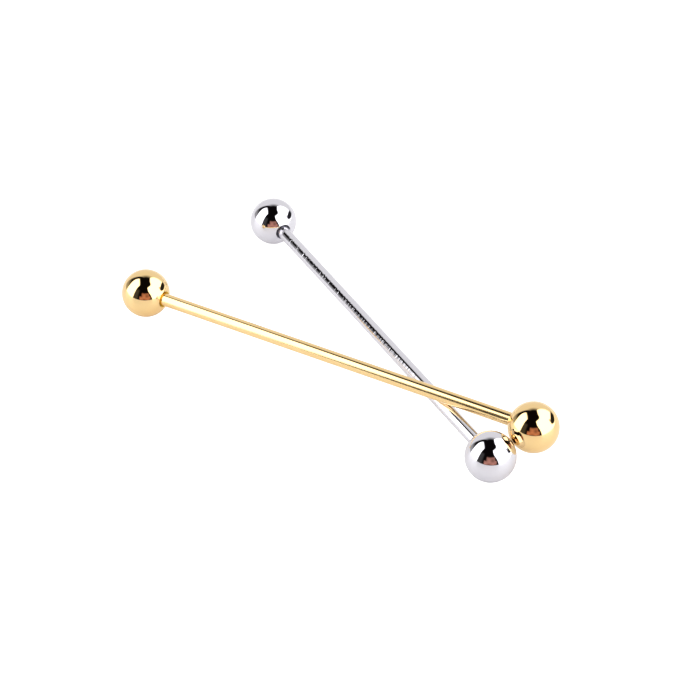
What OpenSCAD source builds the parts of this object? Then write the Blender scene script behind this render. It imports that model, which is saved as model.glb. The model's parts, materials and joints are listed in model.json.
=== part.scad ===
// A gold and a silver collar bar, lying crossed on a flat surface.
// Each bar is a straight rod with a fixed ball on one end and a ball that screws off the other.
// The screw ball carries a threaded stud, and the rod's end is tapped for it.
// Lengths are in millimetres. The origin is on the surface, under the middle of the pair's box, and
// +Y runs along the silver bar, towards its screw ball.

/* [Bar] */
// Distance between the centres of a bar's two balls
ball_spacing = 55; // [45:1:75]
// Diameter of each ball
ball_d = 6; // [5:0.5:8]
// Diameter of the rod
rod_d = 1.6; // [1.4:0.1:2]
// How far the rod goes into the fixed ball
fixed_depth = 2.2; // [1.5:0.1:2.5]
// Gap between a brazed piece and its hole, which solder fills
braze_gap = 0.02; // [0.01:0.01:0.04]

/* [Screw end] */
// Outer diameter of the stud's thread
thread_d = 1; // [0.8:0.05:1]
// Rise of the thread in one turn
thread_pitch = 0.25; // [0.2:0.01:0.3]
// Turns that hold the screw ball on
thread_turns = 10; // [6:1:12]
// Radial play between the stud's thread and the rod's
thread_play = 0.03; // [0.02:0.01:0.04]
// How far the stud's plain end goes into the screw ball
stud_depth = 2.2; // [1.5:0.1:2.5]
// Depth of the pocket in the screw ball that takes the rod's end
pocket_depth = 0.6; // [0.5:0.05:0.8]
// Gap between the rod's end and that pocket, all round
pocket_gap = 0.03; // [0.02:0.01:0.06]
// How much the pocket's mouth is countersunk, all round, at 45 degrees
mouth_widen = 0.2; // [0.1:0.05:0.2]
// How much deeper than the thread the rod is drilled
drill_spare = 0.4; // [0.2:0.1:1]

/* [Resting place] */
// Angle between the two rods, seen from above
cross_angle = 29.5; // [24:0.5:44]
// How far round the silver fixed ball's side the gold one lies, towards the crossing
ball_lag = 1; // [0:0.5:12]
// Air between the two rods where they cross
rod_air = 0.03; // [0.02:0.01:0.1]
// Air between the two fixed balls
ball_air = 0.05; // [0.02:0.01:0.2]

/* [Hidden] */
$fn = 96;

ball_r = ball_d / 2;
rod_r = rod_d / 2;
silver_tone = [0.80, 0.80, 0.83];
gold_tone = [0.93, 0.74, 0.40];

// Heights along a bar, whose fixed ball is centred at 0 and whose screw ball is at ball_spacing
rod_start = ball_r - fixed_depth;
pocket_floor = ball_spacing - ball_r + pocket_depth;
rod_end = pocket_floor - pocket_gap;
thread_length = thread_turns * thread_pitch;
stud_tip = rod_end - thread_length;
stud_end = pocket_floor + stud_depth;
pocket_r = rod_r + pocket_gap;
mouth_r = pocket_r + mouth_widen;
mouth_start = ball_spacing - sqrt(pow(ball_r, 2) - pow(mouth_r, 2));
overlap = 0.05;

// The thread's profile is the standard 60 degree one: a flat crest of an eighth of the pitch
thread_sides = 18;
thread_depth = 5 / 8 * thread_pitch * cos(30);
thread_flank = thread_depth * tan(30);
thread_crest = thread_pitch / 8;
stud_r = thread_d / 2;
stud_core_r = stud_r - thread_depth;
stud_lead = thread_crest + thread_flank;
tip_chamfer = 0.1;

// The tapped hole is the same thread, larger by the play, with a drilled hole below it
tap_r = stud_r + thread_play;
tap_core_r = stud_core_r + thread_play;
tap_crest = thread_crest + thread_play;
tap_lead = tap_crest + thread_flank;
tap_runout = 2;
tap_start = stud_tip + stud_lead - tap_runout * thread_pitch;
drill_step = 0.02;
drill_r = tap_core_r * cos(180 / thread_sides) - drill_step;
drill_bottom = tap_start - tap_lead - drill_spare;
drill_point = 118;

// The gold bar leans on the silver rod, and its screw ball and the silver balls touch the surface.
// A level rod and one that leans by lean are closest where they cross, by crossing_share of the
// height between them there.
function crossing_share(lean) =
    cos(lean) * sin(cross_angle) / sqrt(1 - pow(cos(lean) * cos(cross_angle), 2));
// Distance seen from above between the two fixed balls, when the gold bar leans by lean
function ball_gap_plan(lean) =
    sqrt(pow(ball_d + ball_air, 2) - pow(ball_spacing * sin(lean), 2));
// Distance along the gold bar from its fixed ball to the crossing
function gold_crossing(lean) =
    ball_gap_plan(lean) * cos(ball_lag) / sin(cross_angle) / cos(lean);
// The lean and the crossing depend on each other, so the lean is found in a few steps
function lean_after(steps) =
    steps == 0 ? 0 : asin(
        (rod_d + rod_air) / crossing_share(lean_after(steps - 1))
        / (ball_spacing - gold_crossing(lean_after(steps - 1)))
    );
gold_lean = lean_after(8);
gold_rise = ball_spacing * sin(gold_lean);
gold_reach = ball_spacing * cos(gold_lean);

// Where the gold fixed ball lies from the silver one, and the gold screw ball from the gold fixed one
gold_side = ball_gap_plan(gold_lean) * [cos(ball_lag), sin(ball_lag)];
gold_way = gold_reach * [-sin(cross_angle), cos(cross_angle)];
ball_places = [[0, 0], [0, ball_spacing], gold_side, gold_side + gold_way];
ball_xs = [for (place = ball_places) place.x];
ball_ys = [for (place = ball_places) place.y];
box_middle = [min(ball_xs) + max(ball_xs), min(ball_ys) + max(ball_ys)] / 2;

module silver_place() {
    translate([-box_middle.x, -box_middle.y, ball_r])
        rotate([-90, 0, 0])
            children();
}

module gold_place() {
    translate([gold_side.x - box_middle.x, gold_side.y - box_middle.y, ball_r + gold_rise])
        rotate([-90 - gold_lean, 0, cross_angle])
            children();
}

// A right-hand thread that rises from z = 0, with its core from -below to above. Each of its
// columns of points is one step round, from the foot of the lower flank to that of the upper one.
// It fades in and out over half a turn.
module thread(turns, core_r, crest_r, crest, below, above) {
    n = thread_sides;
    last = turns * n;
    fade = n / 2;
    function at(i, r, z) = [r * cos(360 * i / n), r * sin(360 * i / n), z];
    function grown(i) = core_r + (crest_r - core_r) * min(1, i / fade, (last - i) / fade);
    function height(i) = thread_pitch * i / n;
    points = concat(
        [for (i = [0:last]) each [
            at(i, core_r, height(i) - crest / 2 - thread_flank),
            at(i, grown(i), height(i) - crest / 2),
            at(i, grown(i), height(i) + crest / 2),
            at(i, core_r, height(i) + crest / 2 + thread_flank)
        ]],
        [for (i = [0:n - 1]) at(i, core_r, -below)],
        [for (i = [0:n - 1]) at(i, core_r, above)]
    );
    function p(i, k) = 4 * i + k;
    function bottom(i) = 4 * (last + 1) + i % n;
    function top(i) = 4 * (last + 1) + n + i % n;
    // Triangles that fill a ring of points, all from its first point
    function fan(ring) = [for (k = [1:len(ring) - 2]) [ring[0], ring[k], ring[k + 1]]];
    ridge = [for (i = [0:last - 1], k = [0:2])
        each fan([p(i, k), p(i, k + 1), p(i + 1, k + 1), p(i + 1, k)])];
    valley = [for (i = [0:last - n - 1])
        each fan([p(i, 3), p(i + n, 0), p(i + n + 1, 0), p(i + 1, 3)])];
    foot = [for (i = [0:n - 2]) each fan([bottom(i), p(i, 0), p(i + 1, 0), bottom(i + 1)])];
    foot_seam = fan([
        bottom(n - 1), p(n - 1, 0), p(n, 0), p(0, 3), p(0, 2), p(0, 1), p(0, 0), bottom(0)
    ]);
    head = [for (i = [last - n + 1:last - 1]) each fan([p(i, 3), top(i), top(i + 1), p(i + 1, 3)])];
    head_seam = fan([
        top(last - n + 1), p(last - n + 1, 3), p(last - n, 3),
        p(last, 0), p(last, 1), p(last, 2), p(last, 3), top(last)
    ]);
    floor_cap = fan([for (i = [0:n - 1]) bottom(i)]);
    roof_cap = fan([for (i = [n - 1:-1:0]) top(i)]);
    polyhedron(points, concat(ridge, valley, foot, foot_seam, head, head_seam, floor_cap, roof_cap));
}

// What the drill and the tap take out of the rod's end. The thread runs on past the stud's tip, and
// out of the mouth, which is chamfered.
module tapped_hole() {
    turns = thread_turns + tap_runout + 1;
    translate([0, 0, tap_start])
        thread(turns, tap_core_r, tap_r, tap_crest, tap_lead, turns * thread_pitch + tap_lead);
    translate([0, 0, drill_bottom])
        cylinder(r = drill_r, h = drill_spare + overlap);
    translate([0, 0, drill_bottom - drill_r / tan(drill_point / 2)])
        cylinder(r1 = 0, r2 = drill_r, h = drill_r / tan(drill_point / 2));
    translate([0, 0, rod_end - tip_chamfer])
        cylinder(r1 = tap_r - tip_chamfer, r2 = tap_r + overlap, h = tip_chamfer + overlap);
}

module rod() {
    difference() {
        translate([0, 0, rod_start])
            cylinder(r = rod_r, h = rod_end - rod_start);
        tapped_hole();
    }
}

module fixed_ball() {
    difference() {
        sphere(r = ball_r);
        translate([0, 0, rod_start - braze_gap])
            cylinder(r = rod_r + braze_gap, h = ball_d);
    }
}

module screw_ball() {
    difference() {
        translate([0, 0, ball_spacing])
            sphere(r = ball_r);
        translate([0, 0, pocket_floor - ball_d])
            cylinder(r = pocket_r, h = ball_d);
        translate([0, 0, mouth_start - mouth_widen])
            cylinder(r1 = mouth_r + mouth_widen, r2 = pocket_r, h = 2 * mouth_widen);
        translate([0, 0, pocket_floor - overlap])
            cylinder(r = stud_r + braze_gap, h = stud_depth + braze_gap + overlap);
    }
}

module stud() {
    tip_r = stud_core_r * cos(180 / thread_sides) - overlap / 2;
    translate([0, 0, stud_tip + stud_lead])
        thread(thread_turns - 1, stud_core_r, stud_r, thread_crest, stud_lead,
            thread_length - stud_lead + overlap);
    translate([0, 0, stud_tip - tip_chamfer])
        cylinder(r1 = tip_r - tip_chamfer, r2 = tip_r, h = tip_chamfer + overlap);
    translate([0, 0, rod_end])
        cylinder(r = stud_r, h = stud_end - rod_end);
}

module silver_rod() {
    color(silver_tone) silver_place() rod();
}

module silver_fixed_ball() {
    color(silver_tone) silver_place() fixed_ball();
}

module silver_screw_ball() {
    color(silver_tone) silver_place() screw_ball();
}

module silver_stud() {
    color(silver_tone) silver_place() stud();
}

module gold_rod() {
    color(gold_tone) gold_place() rod();
}

module gold_fixed_ball() {
    color(gold_tone) gold_place() fixed_ball();
}

module gold_screw_ball() {
    color(gold_tone) gold_place() screw_ball();
}

module gold_stud() {
    color(gold_tone) gold_place() stud();
}

silver_rod();
silver_fixed_ball();
silver_screw_ball();
silver_stud();
gold_rod();
gold_fixed_ball();
gold_screw_ball();
gold_stud();
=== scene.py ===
# A gold and a silver collar bar, lying crossed on a white surface in a small light tent.
# Lengths are in metres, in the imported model's frame, and angles in degrees unless a name says radians.
import json
import math

import bmesh
import bpy
import numpy as np
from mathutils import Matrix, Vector


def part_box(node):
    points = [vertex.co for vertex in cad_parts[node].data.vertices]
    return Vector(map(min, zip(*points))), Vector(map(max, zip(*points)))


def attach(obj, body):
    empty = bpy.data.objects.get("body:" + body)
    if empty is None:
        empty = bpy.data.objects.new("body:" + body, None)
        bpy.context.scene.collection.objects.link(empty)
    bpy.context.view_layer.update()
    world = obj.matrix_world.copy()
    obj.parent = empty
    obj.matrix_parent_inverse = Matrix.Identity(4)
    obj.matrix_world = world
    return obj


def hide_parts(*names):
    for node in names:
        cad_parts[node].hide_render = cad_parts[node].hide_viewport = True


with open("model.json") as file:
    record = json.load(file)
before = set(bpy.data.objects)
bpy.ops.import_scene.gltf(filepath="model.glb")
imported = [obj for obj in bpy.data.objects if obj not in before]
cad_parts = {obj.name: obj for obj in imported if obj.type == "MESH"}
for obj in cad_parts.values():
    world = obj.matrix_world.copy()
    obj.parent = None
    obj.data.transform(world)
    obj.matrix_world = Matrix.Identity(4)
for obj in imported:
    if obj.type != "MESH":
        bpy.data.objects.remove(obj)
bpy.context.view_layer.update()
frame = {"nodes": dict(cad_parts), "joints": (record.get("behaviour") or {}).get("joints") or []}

MM = 0.001
scene = bpy.context.scene

# Camera
CAMERA_TARGET = Vector((5.141, 3.914, 0)) * MM
CAMERA_DISTANCE = 290.46 * MM
CAMERA_HEADING = 28.01
CAMERA_TILT = 36.349
CAMERA_LENS = 124.354
SENSOR_WIDTH = 36
NEAREST_SEEN = 0.01
FARTHEST_SEEN = 10


def heading(degrees):
    """Level direction, turned clockwise from +Y."""
    return Vector((math.sin(math.radians(degrees)), math.cos(math.radians(degrees)), 0))


def studio_direction(azimuth, elevation):
    """Direction from the middle of the studio: azimuth 0 is over the camera, 90 is to its right."""
    level = heading(CAMERA_HEADING + 180 - azimuth) * math.cos(math.radians(elevation))
    return level + Vector((0, 0, math.sin(math.radians(elevation))))


def make_camera():
    data = bpy.data.cameras.new("camera")
    data.sensor_width = SENSOR_WIDTH
    data.lens = CAMERA_LENS
    data.clip_start = NEAREST_SEEN
    data.clip_end = FARTHEST_SEEN
    camera = bpy.data.objects.new("camera", data)
    scene.collection.objects.link(camera)
    back = studio_direction(0, CAMERA_TILT)
    camera.location = CAMERA_TARGET + back * CAMERA_DISTANCE
    camera.rotation_mode = "QUATERNION"
    camera.rotation_quaternion = (-back).to_track_quat("-Z", "Y")
    scene.camera = camera


# Studio
PANEL_LIGHT = 2.7
WALL_LIGHT = 0.89
STRIP_LIGHT = 0.4
SCREEN_LIGHT = 0.055
DARK_LIGHT = 0.003 * Vector((1.3, 0.9, 1))
STAND_LIGHT = Vector((0.02, 0.02, 0.024))
BOARD_LIGHT = Vector((0.7, 0.31, 0.23))
WORLD_LIGHT = 1.07
DOME_RADIUS = 0.5
DOME_COLUMNS = 360
DOME_ROWS = 90
PANEL_SOFTNESS = 2.5
FLOOR_REACH = 1.5
FLOOR_TONE = (0.9, 0.9, 0.9)
FLOOR_DROP = 0.01 * MM


def step(low, high, value):
    """Rises smoothly from 0 at low to 1 at high."""
    t = min(1, max(0, (value - low) / (high - low)))
    return t * t * (3 - 2 * t)


def curve(points, value):
    """Height at value of the line through points, which are in rising order."""
    return float(np.interp(value, [p[0] for p in points], [p[1] for p in points]))


def between(low, high, soft, value):
    """1 from low to high, with both edges soft."""
    return step(low - soft, low + soft, value) * step(high + soft, high - soft, value)


def oval(azimuth, elevation, middle, reach):
    """0 in the middle of an oval patch of the dome and 1 at its edge."""
    return math.hypot((azimuth - middle[0]) / reach[0], (elevation - middle[1]) / reach[1])


def dome_colour(azimuth, elevation):
    """What stands in the studio in that direction: two light panels, a wall and dark gaps."""
    soft = PANEL_SOFTNESS

    # The wall behind, which fades out towards the ceiling
    wall_right = curve([(0, 233), (10, 230), (30, 225), (40, 220), (50, 212), (60, 204)], elevation)
    wall = step(67, 43, elevation) * between(125, wall_right, 5, azimuth % 360)
    light = WALL_LIGHT * wall

    # The strip between the wall and the left panel is grey low down and nearly black higher up
    strip = step(28, 6, elevation) * step(-145, -135, azimuth) * step(-95, -100, azimuth)
    light = max(light, STRIP_LIGHT * strip)

    # The left panel, and the dim screen beside it in the gap
    left_edge = curve([(0, -104), (12, -106), (20, -107), (30, -113), (45, -124), (60, -132)], elevation)
    left_end = curve([(0, -62), (10, -60), (30, -60), (50, -63)], elevation)
    left_top = 63 - 0.005 * (azimuth + 92) ** 2
    left = between(left_edge, left_end, soft, azimuth) * step(left_top + 5, left_top - 3, elevation)
    light = max(light, PANEL_LIGHT * left)
    screen = between(-70, -38, 6, azimuth) * step(48, 36, elevation)
    light = max(light, SCREEN_LIGHT * screen)

    # The right panel, which runs into the wall
    right_edge = curve([(0, 32), (10, 31), (25, 27), (35, 22), (45, 18)], elevation)
    right_end = curve([(0, 125), (15, 130), (45, 147), (60, 153)], elevation)
    right_top = curve(
        [(15, 59), (30, 62), (60, 64), (92, 71), (110, 72), (124, 71), (140, 67), (156, 59)], azimuth)
    right = step(right_edge - soft, right_edge + soft, azimuth)
    right *= step(right_end + 7, right_end - 7, azimuth)
    right *= step(right_top + 3, right_top - 3, elevation)
    light = max(light, PANEL_LIGHT * right)

    colour = Vector((light, light, light)) + DARK_LIGHT

    # A dark stand on the floor, in front of the right panel, with a short post at its left
    sloped = elevation + 0.15 * (azimuth - 110)
    stand = step(1.2, 0.8, oval(azimuth, sloped, (110, 12.5), (23, 10.5)))
    post = step(1.3, 0.7, oval(azimuth, elevation, (93, 22), (5, 7)))
    colour = colour.lerp(STAND_LIGHT, max(stand, 0.8 * post))

    # Low warm boards in the gap below the camera, one broad and one standing behind it
    broad = between(-29, 23, 3, azimuth) * between(2, 17, 2, elevation)
    tall = between(-20, 18, 3, azimuth) * between(13, 33, 4, elevation)
    shade = 0.75 + 0.25 * math.sin(math.radians(12 * azimuth)) * math.cos(math.radians(9 * elevation))
    return colour.lerp(shade * BOARD_LIGHT, max(broad, 0.8 * tall))


def dome_material():
    """Shines with the mesh's own colours."""
    material = bpy.data.materials.new("studio_light")
    material.use_nodes = True
    tree = material.node_tree
    tree.nodes.clear()
    colours = tree.nodes.new("ShaderNodeVertexColor")
    colours.layer_name = "light"
    shine = tree.nodes.new("ShaderNodeEmission")
    out = tree.nodes.new("ShaderNodeOutputMaterial")
    tree.links.new(colours.outputs["Color"], shine.inputs["Color"])
    tree.links.new(shine.outputs["Emission"], out.inputs["Surface"])
    material.cycles.emission_sampling = "NONE"
    return material


def make_dome():
    """The walls and lights, seen only in the polished metal."""
    columns = DOME_COLUMNS
    rows = DOME_ROWS
    mesh = bpy.data.meshes.new("studio_dome")
    # From a degree below the floor nearly to the top, where one flat face closes the dome
    angles = [(360 * i / columns - 180, 90 * j / rows - 1) for j in range(rows + 1) for i in range(columns)]
    points = [CAMERA_TARGET + studio_direction(a, e) * DOME_RADIUS for a, e in angles]
    faces = []
    for j in range(rows):
        low = j * columns
        high = low + columns
        for i in range(columns):
            n = (i + 1) % columns
            faces.append((low + i, low + n, high + n, high + i))
    faces.append(tuple(rows * columns + i for i in range(columns)))
    mesh.from_pydata(points, [], faces)
    layer = mesh.color_attributes.new("light", "FLOAT_COLOR", "POINT")
    for value, (azimuth, elevation) in zip(layer.data, angles):
        value.color = (*dome_colour(azimuth, elevation), 1)
    dome = bpy.data.objects.new("studio_dome", mesh)
    dome.data.materials.append(dome_material())
    scene.collection.objects.link(dome)
    dome.visible_camera = False
    dome.visible_diffuse = False
    dome.visible_shadow = False


def floor_material(name, roughness, glow):
    material = bpy.data.materials.new(name)
    material.use_nodes = True
    shader = material.node_tree.nodes["Principled BSDF"]
    shader.inputs["Base Color"].default_value = (*FLOOR_TONE, 1)
    shader.inputs["Roughness"].default_value = roughness
    shader.inputs["Emission Color"].default_value = (1, 1, 1, 1)
    shader.inputs["Emission Strength"].default_value = glow
    return material


def make_floor(name, material, height):
    half = FLOOR_REACH
    mesh = bpy.data.meshes.new(name)
    corners = [(-half, -half, height), (half, -half, height), (half, half, height), (-half, half, height)]
    mesh.from_pydata(corners, [], [(0, 1, 2, 3)])
    floor = bpy.data.objects.new(name, mesh)
    floor.data.materials.append(material)
    scene.collection.objects.link(floor)
    return floor


def make_studio():
    make_dome()
    # The surface as the metal mirrors it, glossy and just short of white
    mirrored = make_floor("table", floor_material("table_gloss", roughness=0.5, glow=0.08), 0)
    mirrored.visible_camera = False
    # The surface as the camera sees it, exposed to plain white
    seen = make_floor("floor", floor_material("floor_white", roughness=1, glow=0.6), -FLOOR_DROP)
    seen.visible_glossy = False
    seen.visible_diffuse = False
    seen.visible_shadow = False
    world = bpy.data.worlds.new("world")
    scene.world = world
    world.use_nodes = True
    sky = world.node_tree.nodes["Background"]
    sky.inputs["Color"].default_value = (1, 1, 1, 1)
    sky.inputs["Strength"].default_value = WORLD_LIGHT
    scene.view_settings.view_transform = "Standard"
    scene.view_settings.look = "None"
    scene.view_settings.exposure = 0
    scene.view_settings.gamma = 1


# Metals, each with its lowest and highest tone; the bore tones are the metal darkened as painted shade in
# the holes and the countersink
SILVER_TONES = ((0.74, 0.725, 0.775), (0.78, 0.76, 0.81))
SILVER_BORE_SHADE_TONES = ((0.16, 0.16, 0.18), (0.26, 0.26, 0.29))
GOLD_TONES = ((0.96, 0.665, 0.3), (0.96, 0.705, 0.36))
GOLD_BORE_SHADE_TONES = ((0.58, 0.42, 0.06), (0.78, 0.57, 0.1))
POLISHED_GLOSS = 0.02
BORE_GLOSS = 0.3
TONE_GRAIN = 300
GLOSS_GRAIN = 900

# The rings across a drawn wire, with heights on the rod in millimetres
RING_GRAIN = 2
RING_FADE_START = 17
RING_FADE_END = 45
LEAST_RING = 0.1


def plating(name, tones, gloss, ring_height=0):
    """Plating whose tone and gloss vary a little, with fine rings if it is on a drawn wire."""
    material = bpy.data.materials.new(name)
    material.use_nodes = True
    tree = material.node_tree
    shader = tree.nodes["Principled BSDF"]
    shader.inputs["Metallic"].default_value = 1
    place = tree.nodes.new("ShaderNodeTexCoord")

    def noise(scale, detail):
        node = tree.nodes.new("ShaderNodeTexNoise")
        node.inputs["Scale"].default_value = scale
        node.inputs["Detail"].default_value = detail
        tree.links.new(place.outputs["Object"], node.inputs["Vector"])
        return node.outputs["Fac"]

    tone = tree.nodes.new("ShaderNodeMix")
    tone.data_type = "RGBA"
    tone.inputs["A"].default_value = (*tones[0], 1)
    tone.inputs["B"].default_value = (*tones[1], 1)
    tree.links.new(noise(TONE_GRAIN, 2), tone.inputs["Factor"])
    tree.links.new(tone.outputs["Result"], shader.inputs["Base Color"])

    roughness = tree.nodes.new("ShaderNodeMapRange")
    roughness.inputs["To Min"].default_value = gloss
    roughness.inputs["To Max"].default_value = gloss * 2
    tree.links.new(noise(GLOSS_GRAIN, 4), roughness.inputs["Value"])
    tree.links.new(roughness.outputs["Result"], shader.inputs["Roughness"])

    if ring_height > 0:
        add_rings(tree, shader, ring_height)
    return material


def add_rings(tree, shader, ring_height):
    """Rings that fade out towards the fixed ball, placed by the mesh's attribute "along"."""
    along = tree.nodes.new("ShaderNodeAttribute")
    along.attribute_name = "along"
    rings = tree.nodes.new("ShaderNodeTexNoise")
    rings.noise_dimensions = "1D"
    rings.inputs["Scale"].default_value = RING_GRAIN
    rings.inputs["Detail"].default_value = 3
    tree.links.new(along.outputs["Fac"], rings.inputs["W"])
    fading = tree.nodes.new("ShaderNodeMapRange")
    fading.inputs["From Min"].default_value = RING_FADE_START
    fading.inputs["From Max"].default_value = RING_FADE_END
    fading.inputs["To Min"].default_value = LEAST_RING
    tree.links.new(along.outputs["Fac"], fading.inputs["Value"])
    faded = tree.nodes.new("ShaderNodeMath")
    faded.operation = "MULTIPLY"
    tree.links.new(rings.outputs["Fac"], faded.inputs[0])
    tree.links.new(fading.outputs["Result"], faded.inputs[1])
    bump = tree.nodes.new("ShaderNodeBump")
    bump.inputs["Distance"].default_value = ring_height
    tree.links.new(faded.outputs["Value"], bump.inputs["Height"])
    tree.links.new(bump.outputs["Normal"], shader.inputs["Normal"])


# Bars, with heights from the fixed ball's centre, as in the model's source
BALL_R = 3 * MM
ROD_R = 0.8 * MM
BALL_SPACING = 55 * MM
BORE_R = 0.82 * MM
BORE_FLOOR = 0.78 * MM
ROD_START = 0.8 * MM
ROD_END = 52.57 * MM
POCKET_FLOOR = 52.6 * MM
POCKET_R = 0.83 * MM
MOUTH_R = 1.03 * MM
STUD_HOLE_R = 0.52 * MM
STUD_HOLE_END = 54.82 * MM

# The tapped hole in the rod's end, as in the model's source
THREAD_PITCH = 0.25 * MM
TAP_START = 49.679 * MM
TAP_R = 0.53 * MM
TAP_CORE_R = 0.395 * MM
TAP_FLAT = 0.061 * MM
TAP_FLANK = 0.078 * MM
TAP_FOOT = 49.54 * MM
DRILL_R = 0.369 * MM
DRILL_BOTTOM = 49.14 * MM
DRILL_POINT = 48.92 * MM

# How fine the meshes are
BALL_SEGMENTS = 128
BALL_STEPS = 96
ROD_SEGMENTS = 96
ROD_STEPS = 200
THREAD_STEPS = 146
SHARP_ANGLE = 30


def lathe(name, outside, bore, foot, axis, segments):
    """Turns the points of outside and then bore, pairs of radius and height, round the bar's axis.

    Radius 0 closes an end. A radius may be a function of the turn, in radians, and the height.
    The faces of the bore take the piece's second material.
    """
    side = axis.cross(Vector((0, 0, 1))).normalized()
    up = side.cross(axis).normalized()
    mesh = bpy.data.meshes.new(name)
    made = bmesh.new()
    rings = []
    for radius, height in outside + bore:
        middle = foot + axis * height
        if radius == 0:
            rings.append([made.verts.new(middle)])
            continue
        ring = []
        for k in range(segments):
            turn = 2 * math.pi * k / segments
            reach = radius(turn, height) if callable(radius) else radius
            ring.append(made.verts.new(middle + (side * math.cos(turn) + up * math.sin(turn)) * reach))
        rings.append(ring)
    for place, (low, high) in enumerate(zip(rings, rings[1:])):
        for k in range(segments):
            n = (k + 1) % segments
            if len(low) == 1:
                face = made.faces.new((low[0], high[n], high[k]))
            elif len(high) == 1:
                face = made.faces.new((low[k], low[n], high[0]))
            else:
                face = made.faces.new((low[k], low[n], high[n], high[k]))
            face.material_index = int(place >= len(outside) - 1)
    bmesh.ops.recalc_face_normals(made, faces=made.faces)
    made.to_mesh(mesh)
    made.free()
    along = mesh.attributes.new("along", "FLOAT", "POINT")
    for vertex, value in zip(mesh.vertices, along.data):
        value.value = (vertex.co - foot).dot(axis) / MM
    mesh.shade_smooth()
    mesh.set_sharp_from_angle(angle=math.radians(SHARP_ANGLE))
    piece = bpy.data.objects.new(name, mesh)
    scene.collection.objects.link(piece)
    return piece


def arc(radius, centre, start, end, count):
    """Points of a circle on the axis, from angle start to end, measured from the axis' far end."""
    angles = [math.radians(start + (end - start) * k / count) for k in range(count + 1)]
    return [(radius * math.sin(a), centre + radius * math.cos(a)) for a in angles]


def fixed_ball_outline():
    """The fixed ball, whose blind hole the rod's plain end fills."""
    mouth = math.degrees(math.asin(BORE_R / BALL_R))
    ball = arc(BALL_R, 0, mouth, 180, BALL_STEPS)
    ball[-1] = (0, -BALL_R)
    return [(0, BORE_FLOOR), (BORE_R, BORE_FLOOR), *ball], []


def screw_ball_outline():
    """The screw ball, and in it the countersunk pocket and the stud's hole."""
    mouth = math.degrees(math.asin(MOUTH_R / BALL_R))
    ball = arc(BALL_R, BALL_SPACING, 0, 180 - mouth, BALL_STEPS)
    ball[0] = (0, BALL_SPACING + BALL_R)
    throat = ball[-1][1] + (MOUTH_R - POCKET_R)
    pocket = [(POCKET_R, throat), (POCKET_R, POCKET_FLOOR), (STUD_HOLE_R, POCKET_FLOOR)]
    return ball, [*pocket, (STUD_HOLE_R, STUD_HOLE_END), (0, STUD_HOLE_END)]


def tapped_radius(turn, height):
    """Radius of the tapped hole.

    Its right-hand groove fades in over the first half turn, and its mouth is chamfered.
    """
    start = TAP_START + THREAD_PITCH * (-turn / (2 * math.pi) % 1)
    groove = round((height - start) / THREAD_PITCH)
    off = abs(height - start - groove * THREAD_PITCH)
    turns = groove + (start - TAP_START) / THREAD_PITCH
    depth = min(1, max(0, 2 * turns)) * min(1, max(0, 1 - (off - TAP_FLAT / 2) / TAP_FLANK))
    chamfer = TAP_R - (ROD_END - height)
    return max(chamfer, TAP_CORE_R + (TAP_R - TAP_CORE_R) * depth)


def rod_outline():
    """The rod from its plain end, and in its other end the tapped and the drilled hole."""
    length = ROD_END - ROD_START
    sides = [(ROD_R, ROD_START + length * k / ROD_STEPS) for k in range(ROD_STEPS + 1)]
    depth = ROD_END - TAP_FOOT
    tapped = [(tapped_radius, ROD_END - depth * k / THREAD_STEPS) for k in range(THREAD_STEPS + 1)]
    drilled = [(DRILL_R, TAP_FOOT), (DRILL_R, DRILL_BOTTOM), (0, DRILL_POINT)]
    return [(0, ROD_START), *sides, tapped[0]], tapped[1:] + drilled


def ball_centre(node, other):
    """Centre of a ball's box, found from the corner that lies away from the bar's other ball."""
    low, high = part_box(node)
    other_low, other_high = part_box(other)
    outward = (low + high) - (other_low + other_high)
    return Vector([high[k] - BALL_R if outward[k] > 0 else low[k] + BALL_R for k in range(3)])


def make_bar(tone, tones, bore_shade_tones, rod_gloss, ring_height):
    polished = plating(f"{tone}_plate", tones, POLISHED_GLOSS)
    drawn = plating(f"{tone}_drawn", tones, rod_gloss, ring_height)
    # The plating of the bores and the countersink is darkened as painted shade in the holes
    bore_shaded = plating(f"{tone}_bored", bore_shade_tones, BORE_GLOSS)
    fixed = f"{tone}_fixed_ball"
    screw = f"{tone}_screw_ball"
    rod = f"{tone}_rod"
    screw_joint = next(j for j in frame["joints"] if j["name"] == f"{tone}_ball_unscrew")
    axis = Vector(screw_joint["axis"]).normalized()
    foot = ball_centre(screw, fixed) - axis * BALL_SPACING
    for node, outline, body, segments, finish in [
        (fixed, fixed_ball_outline(), f"{tone}_bar", BALL_SEGMENTS, polished),
        (screw, screw_ball_outline(), f"{tone}_ball", BALL_SEGMENTS, polished),
        (rod, rod_outline(), f"{tone}_bar", ROD_SEGMENTS, drawn),
    ]:
        piece = lathe(f"{node}_polished", *outline, foot, axis, segments)
        piece.data.materials.append(finish)
        piece.data.materials.append(bore_shaded)
        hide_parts(node)
        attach(piece, body)
    stud = frame["nodes"][f"{tone}_stud"]
    stud.data.materials.clear()
    stud.data.materials.append(polished)


make_camera()
make_studio()
make_bar("silver", SILVER_TONES, SILVER_BORE_SHADE_TONES, rod_gloss=0.02, ring_height=0.024 * MM)
make_bar("gold", GOLD_TONES, GOLD_BORE_SHADE_TONES, rod_gloss=0.08, ring_height=0.002 * MM)
